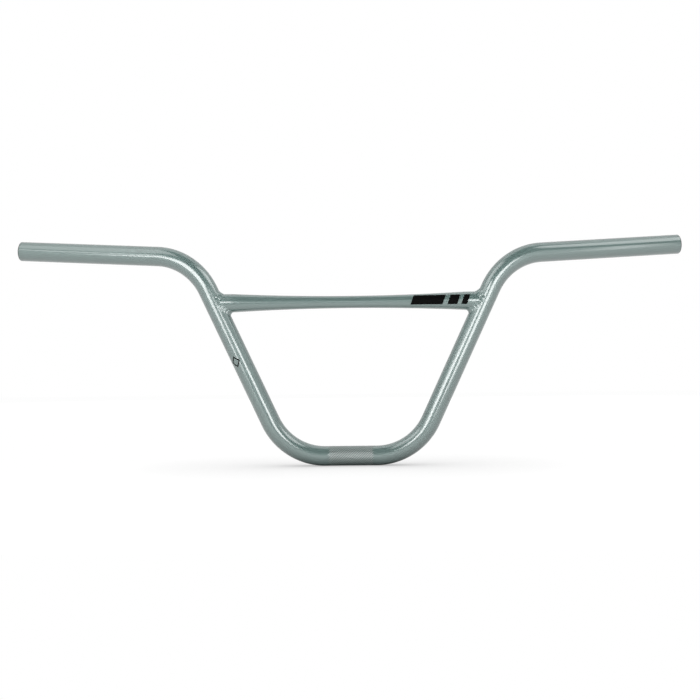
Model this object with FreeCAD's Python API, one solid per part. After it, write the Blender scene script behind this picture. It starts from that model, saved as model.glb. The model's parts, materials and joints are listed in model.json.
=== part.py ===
import FreeCAD
import Part
import math
import os

Vector = FreeCAD.Vector

# Main tube: one bent tube, its sizes taken along the tube's centre line, in millimetres and degrees.
# The land is the flat ring that the rounding of a cut end leaves around the bore.
tube_diameter = 22.2
tube_wall = 1.5
overall_width = 762.0
rise = 238.0
clamp_straight = 58.0
lower_bend_radius = 68.0
upright_angle = 65.1
upper_bend_radius = 68.5
upsweep = 3.4
backsweep = 10.9
end_land = 0.3
vent_hole_diameter = 5.0

# Crossbar: an hourglass tube, plain at the coped ends and tapered by one long arc to its waist.
# The ledge is how far the plain end stands in from the upright's flank, to leave room for the weld.
crossbar_height = 173.7
crossbar_ledge = 0.7
crossbar_waist_diameter = 13.8
crossbar_wall = 1.2
crossbar_plain_end = 22.0

# Weld: a low crowned bead laid in overlapping ripples around each coped end.
weld_leg = 3.6
weld_crown = 0.7
weld_ripple_depth = 0.35
weld_ripples = 20

# The tube's run on the right-hand side, as directions, corners and the straights left between the bends.
tube_radius = tube_diameter / 2
bore_radius = tube_radius - tube_wall
along_clamp = Vector(1, 0, 0)
up_angle = math.radians(upright_angle)
along_upright = Vector(math.cos(up_angle), 0, math.sin(up_angle))
sweep_up = math.radians(upsweep)
sweep_back = math.radians(backsweep)
along_grip = Vector(
    math.cos(sweep_up) * math.cos(sweep_back),
    math.cos(sweep_up) * math.sin(sweep_back),
    math.sin(sweep_up),
)
lower_bend_angle = along_clamp.getAngle(along_upright)
upper_bend_angle = along_upright.getAngle(along_grip)
lower_setback = lower_bend_radius * math.tan(lower_bend_angle / 2)
upper_setback = upper_bend_radius * math.tan(upper_bend_angle / 2)

# The two lengths between corners that give the stated width and rise at the centres of the tube's ends.
lower_corner = along_clamp * (clamp_straight / 2 + lower_setback)
reach = overall_width / 2 - lower_corner.x
spread = along_upright.x * along_grip.z - along_upright.z * along_grip.x
upright_run = (reach * along_grip.z - rise * along_grip.x) / spread
grip_run = (rise * along_upright.x - reach * along_upright.z) / spread
upright_straight = upright_run - lower_setback - upper_setback
grip_straight = grip_run - upper_setback

# The point where the crossbar's axis crosses the right-hand upright's axis.
crossing = lower_corner + along_upright * (crossbar_height / along_upright.z)
crossbar_end_radius = tube_radius - crossbar_ledge
crossbar_waist_radius = crossbar_waist_diameter / 2


def mirrored(shape):
    """The same shape on the left-hand side."""
    return shape.mirror(Vector(0, 0, 0), Vector(1, 0, 0))


def straight(start, direction, length, radius):
    """A straight stretch of rod."""
    return Part.makeCylinder(radius, length, start, direction)


def bend(start, direction, next_direction, bend_radius, radius):
    """A bent stretch of rod: its disc turned about the bend's own axis."""
    disc = Part.Face(Part.Wire(Part.makeCircle(radius, start, direction)))
    axis = direction.cross(next_direction).normalize()
    inward = axis.cross(direction)
    angle = math.degrees(direction.getAngle(next_direction))
    return disc.revolve(start + inward * bend_radius, axis, angle)


def bent_rod(radius):
    """A rod of one radius along the whole run, from the left end to the right end."""
    bend_start = along_clamp * (clamp_straight / 2)
    upright_start = lower_corner + along_upright * lower_setback
    upright_end = upright_start + along_upright * upright_straight
    grip_start = upright_end + along_upright * upper_setback + along_grip * upper_setback
    right_side = [
        bend(bend_start, along_clamp, along_upright, lower_bend_radius, radius),
        straight(upright_start, along_upright, upright_straight, radius),
        bend(upright_end, along_upright, along_grip, upper_bend_radius, radius),
        straight(grip_start, along_grip, grip_straight, radius),
    ]
    clamp = straight(-bend_start, along_clamp, clamp_straight, radius)
    return clamp.multiFuse(right_side + [mirrored(piece) for piece in right_side]).removeSplitter()


def end_edges(tube):
    """The outer circles at the two cut ends of the tube."""
    right_end = lower_corner + along_upright * upright_run + along_grip * grip_run
    left_end = Vector(-right_end.x, right_end.y, right_end.z)
    found = []
    for edge in tube.Edges:
        if not isinstance(edge.Curve, Part.Circle):
            continue
        at_end = min((edge.Curve.Center - end).Length for end in (left_end, right_end)) < tube_wall / 2
        if at_end and edge.Curve.Radius > bore_radius + tube_wall / 2:
            found.append(edge)
    return found


def make_main_tube(outer_rod):
    """The bent tube: each end rounded down to a narrow land, and a vent hole under each end of the crossbar."""
    tube = outer_rod.cut(bent_rod(bore_radius))
    tube = tube.makeFillet(tube_wall - end_land, end_edges(tube))
    left_crossing = Vector(-crossing.x, 0, crossing.z)
    vents = straight(left_crossing, along_clamp, 2 * crossing.x, vent_hole_diameter / 2)
    return tube.cut(vents)


def hourglass(end_radius, waist_radius):
    """A solid hourglass along X between the uprights' axes: plain ends joined by one arc."""
    taper_end = crossing.x - crossbar_plain_end
    waist_arc = Part.Arc(
        Vector(-taper_end, 0, end_radius),
        Vector(0, 0, waist_radius),
        Vector(taper_end, 0, end_radius),
    )
    corners = [
        Vector(taper_end, 0, end_radius),
        Vector(crossing.x, 0, end_radius),
        Vector(crossing.x, 0, 0),
        Vector(-crossing.x, 0, 0),
        Vector(-crossing.x, 0, end_radius),
        Vector(-taper_end, 0, end_radius),
    ]
    sides = Part.makePolygon(corners).Edges
    profile = Part.Face(Part.Wire([waist_arc.toShape()] + sides))
    solid = profile.revolve(Vector(0, 0, 0), along_clamp, 360)
    return solid.translated(Vector(0, 0, crossing.z))


def beside_axis(point, axis_point, axis):
    """The direction from an axis straight out to a point."""
    offset = point - axis_point
    return (offset - axis * offset.dot(axis)).normalize()


def weld_section(point, tangent, crown_height):
    """One cross-section of the bead at a point of the seam: a toe on each tube and a flat crown between."""
    tube_normal = beside_axis(point, crossing, along_upright)
    bar_normal = beside_axis(point, crossing, along_clamp)
    up_tube = tangent.cross(tube_normal)
    along_bar = tangent.cross(bar_normal)
    if up_tube.dot(bar_normal) < 0:
        up_tube = -up_tube
    if along_bar.dot(tube_normal) < 0:
        along_bar = -along_bar
    outward = (tube_normal + bar_normal).normalize()
    tube_sink = weld_leg**2 / (2 * tube_radius) + weld_crown / 2
    bar_sink = weld_leg**2 / (2 * crossbar_end_radius) + weld_crown / 2
    tube_toe = point + up_tube * weld_leg - tube_normal * tube_sink
    bar_toe = point + along_bar * weld_leg - bar_normal * bar_sink
    crown = (tube_toe + bar_toe) / 2 + outward * (crown_height + (tube_sink + bar_sink) / 2)
    root = point - outward * weld_crown
    half_crown = (bar_toe - tube_toe) / 4
    return Part.makePolygon([tube_toe, crown - half_crown, crown + half_crown, bar_toe, root, tube_toe])


def make_weld_bead(outer_rod, crossbar_rod):
    """The right-hand bead: carried around the joint's seam, high and low by turns, and trimmed to the tubes."""
    upright = straight(lower_corner, along_upright, upright_run, tube_radius)
    upright_wall = max(upright.Faces, key=lambda face: face.Area)
    seam = Part.Wire(Part.sortEdges(upright_wall.section(crossbar_rod).Edges)[0])
    crown_heights = [weld_crown, weld_crown - weld_ripple_depth] * weld_ripples
    points = seam.discretize(len(crown_heights) + 1)[:-1]
    sections = []
    for i, crown_height in enumerate(crown_heights):
        tangent = (points[(i + 1) % len(points)] - points[i - 1]).normalize()
        sections.append(weld_section(points[i], tangent, crown_height))
    bead = Part.makeLoft(sections, True, True, True)
    return bead.cut(outer_rod).cut(crossbar_rod)


outer_rod = bent_rod(tube_radius)
crossbar_rod = hourglass(crossbar_end_radius, crossbar_waist_radius)
crossbar_bore = hourglass(crossbar_end_radius - crossbar_wall, crossbar_waist_radius - crossbar_wall)
weld_bead_right = make_weld_bead(outer_rod, crossbar_rod)

parts = {
    "main_tube": make_main_tube(outer_rod),
    "crossbar": crossbar_rod.cut(crossbar_bore).cut(outer_rod),
    "weld_beads": Part.makeCompound([mirrored(weld_bead_right), weld_bead_right]),
}

os.makedirs("parts", exist_ok=True)
for name, shape in parts.items():
    shape.exportStep(f"parts/{name}.step")
    print(name, len(shape.Solids), shape.isValid(), round(shape.Volume, 1))

print("upright straight", round(upright_straight, 2), "grip straight", round(grip_straight, 2))
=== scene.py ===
import json
import math

import bpy
import numpy as np
from mathutils import Matrix, Vector


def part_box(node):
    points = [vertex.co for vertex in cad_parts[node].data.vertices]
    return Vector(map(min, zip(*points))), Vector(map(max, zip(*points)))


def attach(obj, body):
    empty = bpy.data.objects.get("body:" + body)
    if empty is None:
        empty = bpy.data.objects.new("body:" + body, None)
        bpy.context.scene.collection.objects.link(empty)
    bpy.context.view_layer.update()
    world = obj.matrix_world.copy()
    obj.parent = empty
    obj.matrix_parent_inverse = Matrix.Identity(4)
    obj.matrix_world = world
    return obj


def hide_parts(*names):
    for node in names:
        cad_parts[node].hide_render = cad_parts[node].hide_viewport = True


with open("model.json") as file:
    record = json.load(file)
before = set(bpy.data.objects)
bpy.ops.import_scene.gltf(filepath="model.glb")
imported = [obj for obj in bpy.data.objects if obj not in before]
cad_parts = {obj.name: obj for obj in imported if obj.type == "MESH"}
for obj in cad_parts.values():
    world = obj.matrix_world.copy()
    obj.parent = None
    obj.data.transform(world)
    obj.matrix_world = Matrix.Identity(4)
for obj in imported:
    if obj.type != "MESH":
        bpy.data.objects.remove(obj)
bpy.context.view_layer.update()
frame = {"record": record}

# Main tube: one length of drawn steel tube, bent cold in four places into clamp span, uprights and grips.
# It is painted in a gloss grey-green metallic. A diamond knurl rolled into the clamp span keeps the stem
# from slipping, and each end is cut square, rounded on its outer edge and left open.
mounts = {mount["name"]: mount for mount in frame["record"]["mounts"]}
tube_radius = mounts["stem_clamp"]["dims"]["r_mm"] / 1000
bore_radius = mounts["bar_end_right"]["dims"]["r_mm"] / 1000
clamp_half = mounts["stem_clamp"]["dims"]["length_mm"] / 2000
grip_straight = mounts["bar_end_right"]["dims"]["length_mm"] / 1000
grip_middle = np.array(mounts["bar_end_right"]["pos_m"])
lower_bend_radius = 0.068
upper_bend_radius = 0.0685
upright_angle = math.radians(65.1)
end_rounding = 0.0012

# The run on the right-hand side: the direction of each stretch, the way each bend turns, and its length.
along_clamp = np.array([1.0, 0.0, 0.0])
along_upright = np.array([math.cos(upright_angle), 0.0, math.sin(upright_angle)])
along_grip = np.array(mounts["bar_end_right"]["axis"])
lower_inward = np.array([0.0, 0.0, 1.0])
upper_turn_total = math.acos(along_upright @ along_grip)
upper_inward = (along_grip - along_upright * math.cos(upper_turn_total)) / math.sin(upper_turn_total)
upper_axis = np.cross(along_upright, upper_inward)


def across(values):
    """A row of values set upright, so that each multiplies one row of vectors."""
    return np.asarray(values)[..., None]


def bend_step(turn, radius, start_direction, inward):
    """How far an arc carries the centre line: its radius times sine along, times one less cosine inward."""
    return radius * (across(np.sin(turn)) * start_direction + across(1 - np.cos(turn)) * inward)


lower_step = bend_step(upright_angle, lower_bend_radius, along_clamp, lower_inward)
upper_step = bend_step(upper_turn_total, upper_bend_radius, along_upright, upper_inward)
grip_start = grip_middle - along_grip * grip_straight / 2
upright_straight = (grip_start - along_clamp * clamp_half - lower_step - upper_step) @ along_upright
stretch_lengths = [
    clamp_half,
    lower_bend_radius * upright_angle,
    upright_straight,
    upper_bend_radius * upper_turn_total,
    grip_straight,
]
stretch_starts = np.cumsum([0.0] + stretch_lengths)
half_length = stretch_starts[-1]


def tube_path(distance):
    """The centre line at signed distances from the middle of the clamp span, with its front and upper sides.

    The run is shared out over straight, arc, straight, arc and straight, and their steps are added up.
    The front side stays -Y up to the upper bend and turns with it; the left half is mirrored in x.
    """
    run = np.abs(distance)
    shares = [np.clip(run - start, 0, length) for start, length in zip(stretch_starts, stretch_lengths)]
    clamp, lower, upright, upper, grip = shares
    lower_turn = lower / lower_bend_radius
    upper_turn = upper / upper_bend_radius
    centre = (
        across(clamp) * along_clamp
        + bend_step(lower_turn, lower_bend_radius, along_clamp, lower_inward)
        + across(upright) * along_upright
        + bend_step(upper_turn, upper_bend_radius, along_upright, upper_inward)
        + across(grip) * along_grip
    )
    before = across(np.cos(lower_turn)) * along_clamp + across(np.sin(lower_turn)) * lower_inward
    after = across(np.cos(upper_turn)) * along_upright + across(np.sin(upper_turn)) * upper_inward
    tangent = np.where(across(upper > 0), after, before)
    front = np.array([0.0, -1.0, 0.0])
    front = (
        across(np.cos(upper_turn)) * front
        + across(np.sin(upper_turn)) * np.cross(upper_axis, front)
        + across(1 - np.cos(upper_turn)) * upper_axis * (upper_axis @ front)
    )
    upper_side = np.cross(front, tangent)
    mirror = np.where(distance < 0, -1.0, 1.0)
    flip = np.stack([mirror, np.ones_like(mirror), np.ones_like(mirror)], axis=-1)
    return centre * flip, front * flip, upper_side * flip


# The knurl: half its length, the run over which each end fades out, the pitch and number of its grooves,
# their full depth, and the share of it that belongs to the deeper of the two sets.
knurl_half = 0.026
knurl_fade = 0.003
knurl_pitch = 0.0028
knurl_starts = 24
knurl_depth = 0.0004
knurl_main_share = 0.8


def groove(turns):
    """The depth of one set of V grooves, from 0 at each crest to 1 half a turn on."""
    return 2 * np.abs(turns - np.round(turns))


def knurl_pattern(distance, angle):
    """How far down the knurl goes, as a share of its depth: a shallow and a deep set of helical V grooves.

    The turns of a set are the grooves passed around the tube, less or plus those passed along it, so that
    the two sets lean opposite ways.
    """
    around = knurl_starts * angle / (2 * np.pi)
    along = distance / knurl_pitch
    return knurl_main_share * groove(around - along) + (1 - knurl_main_share) * groove(around + along)


def grid_mesh(name, points, around_rows=True, around_columns=True):
    """A mesh of quads on a grid of points, or on each of a stack of grids.

    Where it is closed around its rows or columns, the last of them joins the first.
    """
    rows, columns = points.shape[-3:-1]
    index = np.arange(points.size // 3).reshape(-1, rows, columns)
    if around_rows:
        index = np.concatenate([index, index[:, :1]], axis=1)
    if around_columns:
        index = np.concatenate([index, index[:, :, :1]], axis=2)
    corners = [index[:, :-1, :-1], index[:, 1:, :-1], index[:, 1:, 1:], index[:, :-1, 1:]]
    mesh = bpy.data.meshes.new(name)
    mesh.from_pydata(points.reshape(-1, 3), [], np.stack(corners, axis=-1).reshape(-1, 4))
    mesh.shade_smooth()
    return mesh


def put_in_scene(mesh):
    """An object of the mesh, at the origin."""
    piece = bpy.data.objects.new(mesh.name, mesh)
    bpy.context.scene.collection.objects.link(piece)
    return piece


# Stations along the tube, close together where it is knurled or bent, then over the rounded edge, across
# the flat land and back along the bore to the other end, so that the surface closes on itself.
bend_spacing = 0.0025
straight_spacing = 0.008
knurl_spacing = 0.0003
rounding_steps = 7
bore_thinning = 3
bore_mouth = 0.03
angles_per_start = 8
sharp_edge = math.radians(50)
angle_count = knurl_starts * angles_per_start
angles = np.linspace(0, 2 * np.pi, angle_count, endpoint=False)
knurl_run = np.arange(0, knurl_half, knurl_spacing)
spacings = [straight_spacing, bend_spacing, straight_spacing, bend_spacing, straight_spacing]
starts = [knurl_run[-1]] + list(stretch_starts[1:-1])
ends = list(stretch_starts[1:-1]) + [half_length - end_rounding]
runs = [
    np.linspace(start, end, 1 + math.ceil((end - start) / spacing))[1:]
    for start, end, spacing in zip(starts, ends, spacings)
]
half_run = np.concatenate([knurl_run] + runs)
outer_run = np.concatenate([-half_run[:0:-1], half_run])
rounding_turn = np.linspace(0, np.pi / 2, rounding_steps + 1)[1:]
rounding_run = half_length - end_rounding * (1 - np.sin(rounding_turn))
rounding_drop = end_rounding * (1 - np.cos(rounding_turn))
bore_end = [half_length - bore_mouth, half_length]
bore_half = np.concatenate([run[::bore_thinning] for run in runs[:-1]] + [bore_end])
bore_run = np.concatenate([bore_half[::-1], -bore_half])
station_run = np.concatenate([outer_run, rounding_run, bore_run, -rounding_run[::-1]])
station_radius = np.concatenate([
    np.full(len(outer_run), tube_radius),
    tube_radius - rounding_drop,
    np.full(len(bore_run), bore_radius),
    tube_radius - rounding_drop[::-1],
])
centre, front, upper_side = tube_path(station_run)
knurl_strength = np.clip((knurl_half - np.abs(station_run)) / knurl_fade, 0, 1)
knurl_strength = np.where(station_radius == tube_radius, knurl_strength, 0.0)[:, None]
knurl_share = knurl_pattern(station_run[:, None], angles)
radius = station_radius[:, None] - knurl_depth * knurl_strength * knurl_share
outward = across(np.cos(angles)) * front[:, None] + across(np.sin(angles)) * upper_side[:, None]
main_tube_mesh = grid_mesh("bent_main_tube", centre[:, None] + across(radius) * outward)
main_tube_mesh.set_sharp_from_angle(angle=sharp_edge)
knurl_level = main_tube_mesh.attributes.new("knurl_level", "FLOAT", "POINT")
knurl_level.data.foreach_set("value", (knurl_strength * (1 - 2 * knurl_share)).ravel())
main_tube = put_in_scene(main_tube_mesh)


# The tones that the paint takes on in the knurl, and the level at which each is full: on the crests it lies
# thin and pale, partly with a painted highlight, and the dark tone in the grooves is painted shade.
knurl_paint_highlight_and_shade_tones = ((0.8, (0.335, 0.375, 0.36, 1)), (-0.6, (0.07, 0.086, 0.082, 1)))


def smoke_paint(name, flake_depth, lacquer_roughness=0.15):
    """Gloss metallic paint: grey-green with fine flake, drifting a little in tone, under clear lacquer.

    The mesh's knurl_level, 1 on a crest and -1 in a groove, blends in the knurl's tones, and is 0 elsewhere.
    The crest tone is partly a painted highlight, and the groove tone is painted shade.
    """
    material = bpy.data.materials.new(name)
    material.use_nodes = True
    nodes, links = material.node_tree.nodes, material.node_tree.links
    shader = nodes["Principled BSDF"]
    shader.inputs["Metallic"].default_value = 0.12
    shader.inputs["Coat Weight"].default_value = 1.0
    shader.inputs["Coat Roughness"].default_value = lacquer_roughness
    shader.inputs["Coat IOR"].default_value = 2.1
    place = nodes.new("ShaderNodeTexCoord")
    flake = nodes.new("ShaderNodeTexNoise")
    flake.inputs["Scale"].default_value = 2500
    flake.inputs["Detail"].default_value = 2
    cloud = nodes.new("ShaderNodeTexNoise")
    cloud.inputs["Scale"].default_value = 45
    cloud.inputs["Detail"].default_value = 4
    for texture in (flake, cloud):
        links.new(place.outputs["Object"], texture.inputs["Vector"])
    mottle = nodes.new("ShaderNodeMix")
    mottle.data_type = "FLOAT"
    mottle.inputs["Factor"].default_value = 0.4
    links.new(flake.outputs["Fac"], mottle.inputs["A"])
    links.new(cloud.outputs["Fac"], mottle.inputs["B"])
    tint = nodes.new("ShaderNodeValToRGB")
    tint.color_ramp.elements[0].position = 0.3
    tint.color_ramp.elements[0].color = (0.194, 0.289, 0.272, 1)
    tint.color_ramp.elements[1].position = 0.7
    tint.color_ramp.elements[1].color = (0.206, 0.305, 0.288, 1)
    links.new(mottle.outputs["Result"], tint.inputs["Fac"])
    knurl = nodes.new("ShaderNodeAttribute")
    knurl.attribute_name = "knurl_level"
    coloured = tint.outputs["Color"]
    # The knurl's tones go in here: pale crests that are partly painted highlight, and painted shade in the
    # grooves.
    for full_level, colour in knurl_paint_highlight_and_shade_tones:
        reach = nodes.new("ShaderNodeMapRange")
        reach.inputs["From Max"].default_value = full_level
        links.new(knurl.outputs["Fac"], reach.inputs["Value"])
        toned = nodes.new("ShaderNodeMix")
        toned.data_type = "RGBA"
        toned.inputs["B"].default_value = colour
        links.new(reach.outputs["Result"], toned.inputs["Factor"])
        links.new(coloured, toned.inputs["A"])
        coloured = toned.outputs["Result"]
    links.new(coloured, shader.inputs["Base Color"])
    polish = nodes.new("ShaderNodeMapRange")
    polish.inputs["To Min"].default_value = 0.36
    polish.inputs["To Max"].default_value = 0.44
    links.new(flake.outputs["Fac"], polish.inputs["Value"])
    links.new(polish.outputs["Result"], shader.inputs["Roughness"])
    bump = nodes.new("ShaderNodeBump")
    bump.inputs["Distance"].default_value = flake_depth
    links.new(flake.outputs["Fac"], bump.inputs["Height"])
    links.new(bump.outputs["Normal"], shader.inputs["Normal"])
    return material


def bare_steel(name):
    """Uncoated drawn steel: dull dark grey, streaked along the drawing."""
    material = bpy.data.materials.new(name)
    material.use_nodes = True
    nodes, links = material.node_tree.nodes, material.node_tree.links
    shader = nodes["Principled BSDF"]
    shader.inputs["Metallic"].default_value = 1.0
    place = nodes.new("ShaderNodeTexCoord")
    stretch = nodes.new("ShaderNodeMapping")
    stretch.inputs["Scale"].default_value = (0.1, 1, 1)
    streak = nodes.new("ShaderNodeTexNoise")
    streak.inputs["Scale"].default_value = 700
    streak.inputs["Detail"].default_value = 4
    tint = nodes.new("ShaderNodeValToRGB")
    tint.color_ramp.elements[0].position = 0.3
    tint.color_ramp.elements[0].color = (0.085, 0.085, 0.082, 1)
    tint.color_ramp.elements[1].position = 0.7
    tint.color_ramp.elements[1].color = (0.155, 0.155, 0.15, 1)
    polish = nodes.new("ShaderNodeMapRange")
    polish.inputs["To Min"].default_value = 0.4
    polish.inputs["To Max"].default_value = 0.6
    links.new(place.outputs["Object"], stretch.inputs["Vector"])
    links.new(stretch.outputs["Vector"], streak.inputs["Vector"])
    links.new(streak.outputs["Fac"], tint.inputs["Fac"])
    links.new(tint.outputs["Color"], shader.inputs["Base Color"])
    links.new(streak.outputs["Fac"], polish.inputs["Value"])
    links.new(polish.outputs["Result"], shader.inputs["Roughness"])
    return material


# The faces from where the edge of each end is rounded over, across the land and along the bore, have the
# second material, a dark dull steel, so that each end shows a dark rim. The lacquer lies less smooth over
# the knurl, which has the third, ending along its strokes where they fade.
tube_flake = 0.0000002
tube_paint = smoke_paint("smoke_paint", tube_flake)
dark_steel_end = bare_steel("bare_steel")
knurl_paint = smoke_paint("smoke_knurl", tube_flake, lacquer_roughness=0.4)
for finish in (tube_paint, dark_steel_end, knurl_paint):
    main_tube_mesh.materials.append(finish)
dark_steel_finish = 1
knurl_finish = 2
face_finish = np.zeros((len(station_run), angle_count), dtype=np.int32)
face_finish[len(outer_run) - 1:] = dark_steel_finish
face_strength = np.minimum(knurl_strength, np.roll(knurl_strength, -1, axis=0))
face_finish[(knurl_share < face_strength) | (face_strength == 1)] = knurl_finish
main_tube_mesh.polygons.foreach_set("material_index", face_finish.ravel())
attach(main_tube, "root")
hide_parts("main_tube")

# Crossbar: a second, lighter steel tube swaged to an hourglass, thin in the middle and nearly full size at
# its ends. Each end is coped to sit round its upright before it is welded, and it has the same paint.
crossbar_low, crossbar_high = (np.array(corner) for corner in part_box("crossbar"))
crossbar_height = (crossbar_low[2] + crossbar_high[2]) / 2
crossbar_end_radius = (crossbar_high[2] - crossbar_low[2]) / 2
crossbar_waist_radius = 0.0069
crossbar_wall = 0.0012
crossbar_plain_end = 0.022
cope_overlap = 0.0004
lower_corner_x = clamp_half + lower_bend_radius * math.tan(upright_angle / 2)
crossing_x = lower_corner_x + crossbar_height / math.tan(upright_angle)
taper_end = crossing_x - crossbar_plain_end
taper_rise = crossbar_end_radius - crossbar_waist_radius
taper_arc = (taper_end**2 + taper_rise**2) / (2 * taper_rise)


def hourglass_radius(x):
    """The crossbar's radius: its waist plus the rise of one long arc, up to the plain ends."""
    inside = np.minimum(np.abs(x), taper_end)
    return crossbar_waist_radius + taper_arc - np.sqrt(taper_arc**2 - inside**2)


def cope_x(y, z):
    """Where a line along X at depth y and height z above the crossbar's axis meets the right-hand upright.

    The upright's axis leans, so its distance from the line is measured square to that lean.
    """
    lean = np.cos(upright_angle) * z - np.sqrt(tube_radius**2 - y**2)
    return crossing_x + lean / np.sin(upright_angle)


def crossbar_surface(share, wall, angle):
    """A point for each share of the half length, from -1 to 1: the taper first, then the plain coped end."""
    taper_share = 0.88
    x_taper = np.clip(share / taper_share, -1, 1) * taper_end
    depth = hourglass_radius(x_taper) - wall
    y = -depth * np.cos(angle)
    z = depth * np.sin(angle)
    beyond = np.clip((np.abs(share) - taper_share) / (1 - taper_share), 0, 1)
    reach = np.abs(x_taper) + beyond * (cope_x(y, z) + cope_overlap - taper_end)
    return np.stack([np.sign(share) * reach, y, crossbar_height + z], axis=-1)


outer_stations = 96
inner_stations = 24
crossbar_columns = 96
crossbar_angles = np.linspace(0, 2 * np.pi, crossbar_columns, endpoint=False)
outer_share = np.linspace(-1, 1, outer_stations)
inner_share = np.linspace(1, -1, inner_stations)
crossbar_share = np.concatenate([outer_share, inner_share])
crossbar_depth = np.concatenate([np.zeros(len(outer_share)), np.full(len(inner_share), crossbar_wall)])
crossbar_points = crossbar_surface(crossbar_share[:, None], crossbar_depth[:, None], crossbar_angles)
crossbar_mesh = grid_mesh("hourglass_crossbar", crossbar_points)
crossbar_mesh.set_sharp_from_angle(angle=sharp_edge)
crossbar_mesh.materials.append(tube_paint)
crossbar = put_in_scene(crossbar_mesh)
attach(crossbar, "root")
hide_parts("crossbar")

# Weld beads: one run of steel weld around each coped joint, laid in short overlapping ripples, filling the
# corner between the two tubes with a slightly hollow face. They are painted with the rest.
weld_leg = 0.0044
weld_fill = 0.45
weld_sink = 0.00012
weld_ripple_depth = 0.0007
weld_ripples = 20
weld_bow = 0.9
weld_root_depth = weld_leg / 4
steps_per_ripple = 14
weld_face_columns = 17
weld_crease = math.radians(60)
weld_flake = 0.000001


def unit(vectors):
    """Each vector divided by its own length."""
    return vectors / np.linalg.norm(vectors, axis=-1, keepdims=True)


def on_rod(points, direction, radius):
    """Points moved straight out or in onto a rod whose axis runs through the middle of the joint.

    Each keeps its place along the axis, and its offset from the axis gets the rod's radius as its length.
    """
    middle = np.array([crossing_x, 0.0, crossbar_height])
    offset = points - middle
    along = across(offset @ direction) * direction
    return middle + along + radius * unit(offset - along)


def weld_surface(turn, share):
    """The right-hand bead: a hollow three-cornered section carried around the seam of the two tubes.

    The seam is the cope's edge. At each point of it the face runs from a toe on the upright to a toe on the
    crossbar as a parabola, drawn towards a point between the seam and the middle of the two toes. A last
    point under the seam closes the section. Along the seam each ripple is a parabola, high in its middle and
    creased against the next. The ripples die out at both toes, and bow along the seam in the middle of the
    face.
    """
    y = -crossbar_end_radius * np.cos(turn)
    z = crossbar_end_radius * np.sin(turn)
    seam = np.stack([cope_x(y, z), y, crossbar_height + z], axis=-1)
    seam_way = unit(np.roll(seam, -1, axis=0) - np.roll(seam, 1, axis=0))
    tube_normal = unit(on_rod(seam, along_upright, 2 * tube_radius) - seam)
    bar_normal = unit(on_rod(seam, along_clamp, 2 * crossbar_end_radius) - seam)
    up_tube = np.cross(seam_way, tube_normal)
    up_tube *= across(np.sign(np.sum(up_tube * bar_normal, axis=-1)))
    along_bar = np.cross(seam_way, bar_normal)
    along_bar *= across(np.sign(np.sum(along_bar * tube_normal, axis=-1)))
    tube_toe = on_rod(seam + up_tube * weld_leg, along_upright, tube_radius - weld_sink)
    bar_toe = on_rod(seam + along_bar * weld_leg, along_clamp, crossbar_end_radius - weld_sink)
    pull = seam + weld_fill * ((tube_toe + bar_toe) / 2 - seam)
    outward = unit(tube_normal + bar_normal)
    seam_length = np.concatenate([[0], np.cumsum(np.linalg.norm(np.diff(seam, axis=0), axis=-1))])
    seam_share = seam_length / (seam_length[-1] + np.linalg.norm(seam[0] - seam[-1]))
    middleness = 4 * share * (1 - share)
    phase = weld_ripples * seam_share[:, None] - weld_bow * middleness / 2
    ripple = weld_ripple_depth * middleness * (0.5 - (2 * (phase % 1.0) - 1) ** 2)
    face = (
        across((1 - share) ** 2) * tube_toe[:, None]
        + across(2 * share * (1 - share)) * pull[:, None]
        + across(share**2) * bar_toe[:, None]
        + across(ripple) * outward[:, None]
    )
    root = seam - outward * weld_root_depth
    return np.concatenate([face, root[:, None]], axis=1)


weld_turns = np.linspace(0, 2 * np.pi, weld_ripples * steps_per_ripple, endpoint=False)
weld_right = weld_surface(weld_turns, np.linspace(0, 1, weld_face_columns))
weld_left = weld_right[:, ::-1] * np.array([-1.0, 1.0, 1.0])
weld_mesh = grid_mesh("rippled_weld_beads", np.stack([weld_left, weld_right]))
weld_mesh.set_sharp_from_angle(angle=weld_crease)
weld_mesh.materials.append(smoke_paint("smoke_weld", weld_flake))
weld_beads = put_in_scene(weld_mesh)
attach(weld_beads, "root")
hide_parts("weld_beads")

# Printed marks: black ink on the paint, a row of slanted blocks on the front of the crossbar and one small
# lozenge on the outer front of the left upright. Each is a film a few hundredths of a millimetre thick.
ink_lift = 0.00005
ink_thickness = 0.00006
block_starts = np.array([0.0705, 0.112, 0.1275])
block_widths = np.array([0.036, 0.011, 0.0065])
block_slant = 0.004
block_half_height = 0.0059
block_raise = 0.0018
block_points = 25
block_line = np.linspace(0, 1, block_points)
ink_u, ink_v = np.meshgrid(block_line, block_line, indexing="ij")


def crossbar_film(along, height):
    """Points over the crossbar's front: a place along it, and a height measured round its girth."""
    radius = hourglass_radius(along) + ink_lift
    y = -radius * np.cos(height / radius)
    return np.stack([along, y, crossbar_height + radius * np.sin(height / radius)], axis=-1)


block_height = block_raise + block_half_height * (2 * ink_v - 1)
block_along = block_starts[:, None, None] + block_widths[:, None, None] * ink_u
block_along = block_along + block_slant * (ink_v - 0.5)
block_film = crossbar_film(block_along, block_height)
blocks = grid_mesh("crossbar_print", block_film, around_rows=False, around_columns=False)

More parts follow.
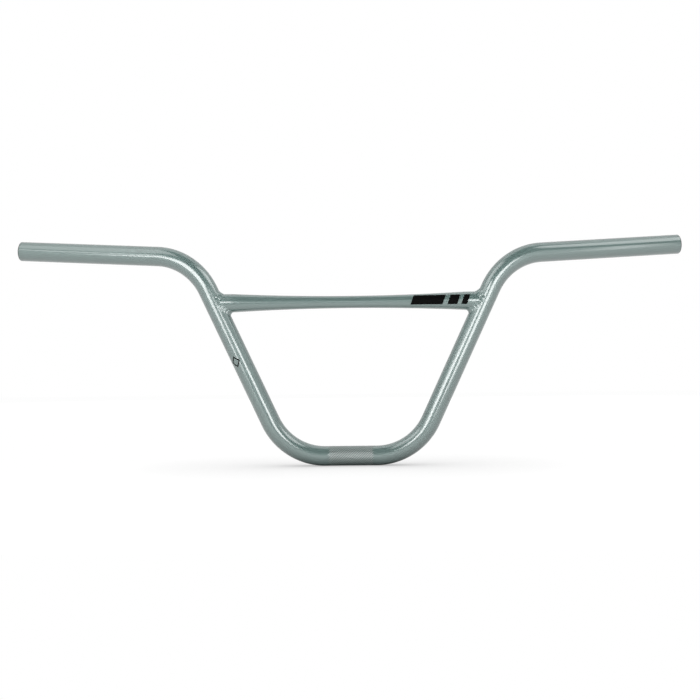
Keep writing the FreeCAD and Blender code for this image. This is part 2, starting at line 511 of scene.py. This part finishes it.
# The lozenge is a band of nested outlines, each reaching out by one over the sum of cosine and sine, without
# their signs. It lies at a run along the left half of the tube, turned a little down from its front.
lozenge_run = 0.184
lozenge_turn = math.radians(-31)
lozenge_half_length = 0.0066
lozenge_half_width = 0.0056
lozenge_inner = 0.7
lozenge_outlines = 9
outline_points = 64
lozenge_radius = tube_radius + ink_lift
ring_turn = np.linspace(0, 2 * np.pi, outline_points, endpoint=False)
ring_scale = np.linspace(1, lozenge_inner, lozenge_outlines)[:, None]
ring_reach = ring_scale / (np.abs(np.cos(ring_turn)) + np.abs(np.sin(ring_turn)))
lozenge_distance = -lozenge_run + lozenge_half_length * ring_reach * np.cos(ring_turn)
lozenge_angle = lozenge_turn + lozenge_half_width * ring_reach * np.sin(ring_turn) / lozenge_radius
lozenge_centre, lozenge_front, lozenge_upper = tube_path(lozenge_distance)
lozenge_points = lozenge_centre + lozenge_radius * (
    across(np.cos(lozenge_angle)) * lozenge_front + across(np.sin(lozenge_angle)) * lozenge_upper
)
lozenge = grid_mesh("upright_print", lozenge_points, around_rows=False)


def black_ink(name):
    """Black screen ink: even and near black, with a soft gloss broken by the weave of the screen."""
    material = bpy.data.materials.new(name)
    material.use_nodes = True
    nodes, links = material.node_tree.nodes, material.node_tree.links
    shader = nodes["Principled BSDF"]
    shader.inputs["Specular IOR Level"].default_value = 0.06
    place = nodes.new("ShaderNodeTexCoord")
    weave = nodes.new("ShaderNodeTexNoise")
    weave.inputs["Scale"].default_value = 2500
    tint = nodes.new("ShaderNodeValToRGB")
    tint.color_ramp.elements[0].color = (0.0015, 0.0015, 0.0015, 1)
    tint.color_ramp.elements[1].color = (0.003, 0.003, 0.003, 1)
    polish = nodes.new("ShaderNodeMapRange")
    polish.inputs["To Min"].default_value = 0.5
    polish.inputs["To Max"].default_value = 0.65
    links.new(place.outputs["Object"], weave.inputs["Vector"])
    links.new(weave.outputs["Fac"], tint.inputs["Fac"])
    links.new(tint.outputs["Color"], shader.inputs["Base Color"])
    links.new(weave.outputs["Fac"], polish.inputs["Value"])
    links.new(polish.outputs["Result"], shader.inputs["Roughness"])
    return material


ink = black_ink("black_ink")
for film in (blocks, lozenge):
    film.materials.append(ink)
    mark = put_in_scene(film)
    build_up = mark.modifiers.new("ink_thickness", "SOLIDIFY")
    build_up.thickness = ink_thickness
    build_up.offset = 0
    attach(mark, "root")

# Floor: a plain white table top, which the clamp span touches along one line. It is white to the camera and
# in the paint's gloss, and keeps the soft shadow, which is deepest along that line.
table_half = 2.4
table_front = -0.63
table_points = 9
table_white = 0.04
camera_glow = 0.985
gloss_glow = 0.92
contact_reach = 0.15
contact_shade = 0.6
contact_spread = 0.75
gloss_contact = 1.7
table_x = np.linspace(-table_half, table_half, table_points)
table_y = np.linspace(table_front, table_half, table_points)
floor_x, floor_y = np.meshgrid(table_x, table_y, indexing="ij")
floor_points = np.stack([floor_x, floor_y, np.full_like(floor_x, -tube_radius)], axis=-1)
floor = put_in_scene(grid_mesh("table_top", floor_points, around_rows=False, around_columns=False))


def worked_out(nodes, links, operation, first, second):
    """A Math node on two inputs, each a socket or a number."""
    node = nodes.new("ShaderNodeMath")
    node.operation = operation
    for socket, value in zip(node.inputs, (first, second)):
        if isinstance(value, float):
            socket.default_value = value
        else:
            links.new(value, socket)
    return node.outputs["Value"]


def blended(nodes, links, share, first, second):
    """A Mix node that goes from the first level to the second by a share, each a socket or a number."""
    node = nodes.new("ShaderNodeMix")
    for socket, value in zip(("Factor", "A", "B"), (share, first, second)):
        if isinstance(value, float):
            node.inputs[socket].default_value = value
        else:
            links.new(value, node.inputs[socket])
    return node.outputs["Result"]


def by_ray(nodes, links, fallen, gloss, camera):
    """A level for each kind of ray: light that falls on things, then gloss and glass, then the camera."""
    ray = nodes.new("ShaderNodeLightPath").outputs
    shiny = worked_out(nodes, links, "MAXIMUM", ray["Is Glossy Ray"], ray["Is Transmission Ray"])
    level = blended(nodes, links, shiny, fallen, gloss)
    return blended(nodes, links, ray["Is Camera Ray"], level, camera)


floor_paint = bpy.data.materials.new("white_table")
floor_paint.use_nodes = True
nodes, links = floor_paint.node_tree.nodes, floor_paint.node_tree.links
nodes.clear()
matt = nodes.new("ShaderNodeBsdfDiffuse")
matt.inputs["Color"].default_value = (table_white, table_white, table_white, 1)
glow = nodes.new("ShaderNodeEmission")
glow.inputs["Color"].default_value = (1, 1, 1, 1)
both = nodes.new("ShaderNodeAddShader")
output = nodes.new("ShaderNodeOutputMaterial")
contact = nodes.new("ShaderNodeAmbientOcclusion")
contact.inputs["Distance"].default_value = contact_reach
opened = worked_out(nodes, links, "POWER", contact.outputs["AO"], gloss_contact)
gloss_level = worked_out(nodes, links, "MULTIPLY", opened, gloss_glow)
covered = worked_out(nodes, links, "SUBTRACT", 1.0, contact.outputs["AO"])
shade = worked_out(nodes, links, "POWER", covered, contact_spread)
camera_level = blended(nodes, links, shade, camera_glow, camera_glow * (1 - contact_shade))
links.new(by_ray(nodes, links, 0.0, gloss_level, camera_level), glow.inputs["Strength"])
links.new(matt.outputs["BSDF"], both.inputs[0])
links.new(glow.outputs["Emission"], both.inputs[1])
links.new(both.outputs["Shader"], output.inputs["Surface"])
floor.data.materials.append(floor_paint)

# Studio: a plain room with grey side walls, a white backdrop and a pale ceiling that is dark in front of the
# bar, so that the paint shows one dark band. Softboxes in front and high at the sides draw the light lines,
# and one behind, which the gloss doesn't show, lights the back.
wall_level = 0.62
backdrop_level = 0.8
top_level = 0.97
front_floor = 0.28
side_floor = 1.05
room_fill = 0.06
dim_way = (0.04, -0.629, 0.776)
dim_inner = math.cos(math.radians(36))
dim_outer = math.cos(math.radians(43))
world = bpy.data.worlds.new("white_studio")
bpy.context.scene.world = world
world.use_nodes = True
nodes, links = world.node_tree.nodes, world.node_tree.links
nodes.clear()
direction = nodes.new("ShaderNodeTexCoord").outputs["Generated"]


def toward(way, nearest, furthest, near_level, far_level):
    """A level that changes smoothly with the cosine of the angle between the ray and a way."""
    cosine = nodes.new("ShaderNodeVectorMath")
    cosine.operation = "DOT_PRODUCT"
    cosine.inputs[1].default_value = way
    change = nodes.new("ShaderNodeMapRange")
    change.interpolation_type = "SMOOTHSTEP"
    change.inputs["From Min"].default_value = furthest
    change.inputs["From Max"].default_value = nearest
    change.inputs["To Min"].default_value = far_level
    change.inputs["To Max"].default_value = near_level
    links.new(direction, cosine.inputs[0])
    links.new(cosine.outputs["Value"], change.inputs["Value"])
    return change.outputs["Result"]


back_way = (0.0, 1.0, 0.0)
front_way = (0.0, -1.0, 0.0)
up_way = (0.0, 0.0, 1.0)
down_way = (0.0, 0.0, -1.0)
backdrop = toward(back_way, nearest=0.7, furthest=0.0, near_level=backdrop_level, far_level=wall_level)
overhead = toward(up_way, nearest=0.97, furthest=0.7, near_level=top_level, far_level=0.0)
ceiling = toward(dim_way, dim_inner, dim_outer, near_level=0.0, far_level=1.0)
walls = worked_out(nodes, links, "MAXIMUM", backdrop, overhead)
room = worked_out(nodes, links, "MULTIPLY", walls, ceiling)
floor_level = toward(front_way, nearest=0.95, furthest=0.7, near_level=front_floor, far_level=side_floor)
underfoot = toward(down_way, nearest=0.03, furthest=0.0, near_level=1.0, far_level=0.0)
reflected = blended(nodes, links, underfoot, room, floor_level)
fallen = worked_out(nodes, links, "MULTIPLY", ceiling, room_fill)
white = nodes.new("ShaderNodeBackground")
white.inputs["Color"].default_value = (1, 1, 1, 1)
output = nodes.new("ShaderNodeOutputWorld")
links.new(by_ray(nodes, links, fallen, reflected, 1.0), white.inputs["Strength"])
links.new(white.outputs["Background"], output.inputs["Surface"])

studio_centre = np.array([0.0, 0.0, 0.12])


def softbox(name, bearing, height, lean, distance, width, tall, brightness, in_gloss=True):
    """A rectangular softbox facing the bar, at a bearing from the camera's side and a height, in degrees.

    Its width runs level to the right as the bar sees it, then turns by the lean about the line to the bar.
    """
    bearing, height, lean = math.radians(bearing), math.radians(height), math.radians(lean)
    level_way = Vector((math.cos(bearing), math.sin(bearing), 0))
    way = Vector((
        math.sin(bearing) * math.cos(height),
        -math.cos(bearing) * math.cos(height),
        math.sin(height),
    ))
    rise_way = way.cross(level_way)
    width_way = level_way * math.cos(lean) + rise_way * math.sin(lean)
    lamp = bpy.data.lights.new(name, "AREA")
    lamp.shape = "RECTANGLE"
    lamp.size = width
    lamp.size_y = tall
    lamp.energy = brightness * math.pi * width * tall
    holder = bpy.data.objects.new(name, lamp)
    holder.location = studio_centre + np.array(way) * distance
    holder.rotation_euler = Matrix((width_way, way.cross(width_way), way)).transposed().to_euler()
    holder.visible_glossy = in_gloss
    bpy.context.scene.collection.objects.link(holder)


# For each softbox: bearing, height and lean, then its distance, width and tallness, and its brightness.
softbox("left_front", -25.2, 7.2, -42.0, 1.38, 0.49, 0.9, brightness=4.6)
softbox("right_front", 21.9, -4.1, 16.4, 1.33, 0.48, 1.05, brightness=4.8)
softbox("left_high", -55.0, 49.6, -19.9, 1.2, 0.75, 0.76, brightness=1.4)
softbox("right_high", 69.7, 48.2, -15.3, 1.74, 1.2, 0.84, brightness=1.9)
softbox("left_bridge", -41.6, 17.5, -22.1, 3.49, 1.32, 0.29, brightness=3.0)
softbox("right_low", 46.9, 3.1, -2.8, 1.2, 0.1, 0.62, brightness=1.75)
softbox("rear_fill", 180.0, 10.0, 0.0, 2.0, 1.4, 0.9, brightness=5.2, in_gloss=False)

# Camera: in front of the bar and at the height of its middle, looking level, with a slight turn and roll.
# Its picture is square, and its focal length is given in that picture's own pixels.
sensor_width = 36.0
focal_pixels = 1300
picture_pixels = 700
camera_data = bpy.data.cameras.new("front_camera")
camera_data.sensor_width = sensor_width
camera_data.lens = sensor_width * focal_pixels / picture_pixels
camera_data.clip_end = 50
camera = bpy.data.objects.new("front_camera", camera_data)
camera.location = (0.01006, -1.4701, 0.1194)
camera_turn = math.radians(0.3933)
camera_roll = math.radians(-0.6194)
level = Matrix.Rotation(camera_turn, 3, "Z") @ Matrix.Rotation(math.pi / 2, 3, "X")
camera.rotation_euler = (level @ Matrix.Rotation(camera_roll, 3, "Z")).to_euler()
bpy.context.scene.collection.objects.link(camera)
bpy.context.scene.camera = camera
bpy.context.scene.view_settings.view_transform = "Standard"
